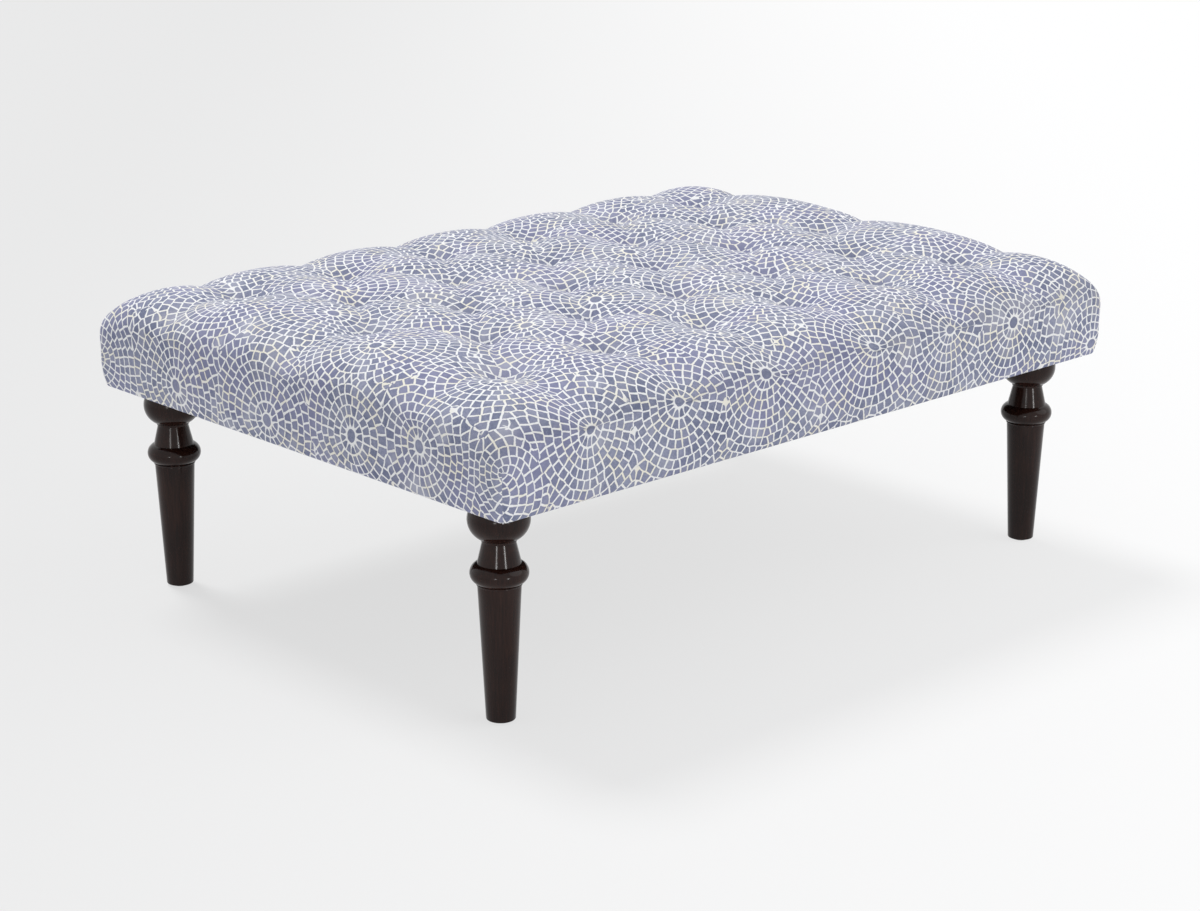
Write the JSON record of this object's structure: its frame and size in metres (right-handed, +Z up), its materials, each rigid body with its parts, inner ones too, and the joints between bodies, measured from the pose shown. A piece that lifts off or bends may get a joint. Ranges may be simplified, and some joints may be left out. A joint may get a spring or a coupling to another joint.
{
  "type": "ottoman coffee table",
  "caption": "Low rectangular ottoman coffee table with a diamond-tufted, printed cloth top, soft rolled edges and dark turned legs.",
  "frame": {"origin": "on the floor, under the middle of the table", "axes": "+X along the table's length, +Y towards its back long side, +Z up"},
  "size_m": [1.155, 0.8504, 0.438],
  "materials": {
    "upholstery_cloth": "printed woven cloth, matt",
    "wadding": "soft white fibre",
    "foam": "open-cell foam, matt",
    "twine": "twisted twine",
    "frame_timber": "sawn softwood",
    "deck_timber": "sawn boards",
    "fastener_steel": "zinc-plated",
    "leg_finish": "dark stain under satin lacquer",
    "glide_plastic": "matt",
    "dust_cloth": "thin non-woven cloth"
  },
  "bodies": {
    "root": {"cover": "upholstery_cloth", "wadding": "wadding", "foam_core": "foam", "tufting_twine": "twine", "rail_front": "frame_timber", "rail_back": "frame_timber", "rail_left": "frame_timber", "rail_right": "frame_timber", "brace_left": "frame_timber", "brace_right": "frame_timber", "deck_board_1": "deck_timber", "deck_board_2": "deck_timber", "deck_board_3": "deck_timber", "deck_board_4": "deck_timber", "deck_board_5": "deck_timber", "deck_board_6": "deck_timber", "corner_block_front_left": "frame_timber", "corner_block_front_right": "frame_timber", "corner_block_back_left": "frame_timber", "corner_block_back_right": "frame_timber", "tee_nuts": "fastener_steel", "hanger_bolts": "fastener_steel", "leg_front_left": "leg_finish", "leg_front_right": "leg_finish", "leg_back_left": "leg_finish", "leg_back_right": "leg_finish", "glide_front_left": "glide_plastic", "glide_front_right": "glide_plastic", "glide_back_left": "glide_plastic", "glide_back_right": "glide_plastic", "dust_cover": "dust_cloth"}
  },
  "joints": []
}
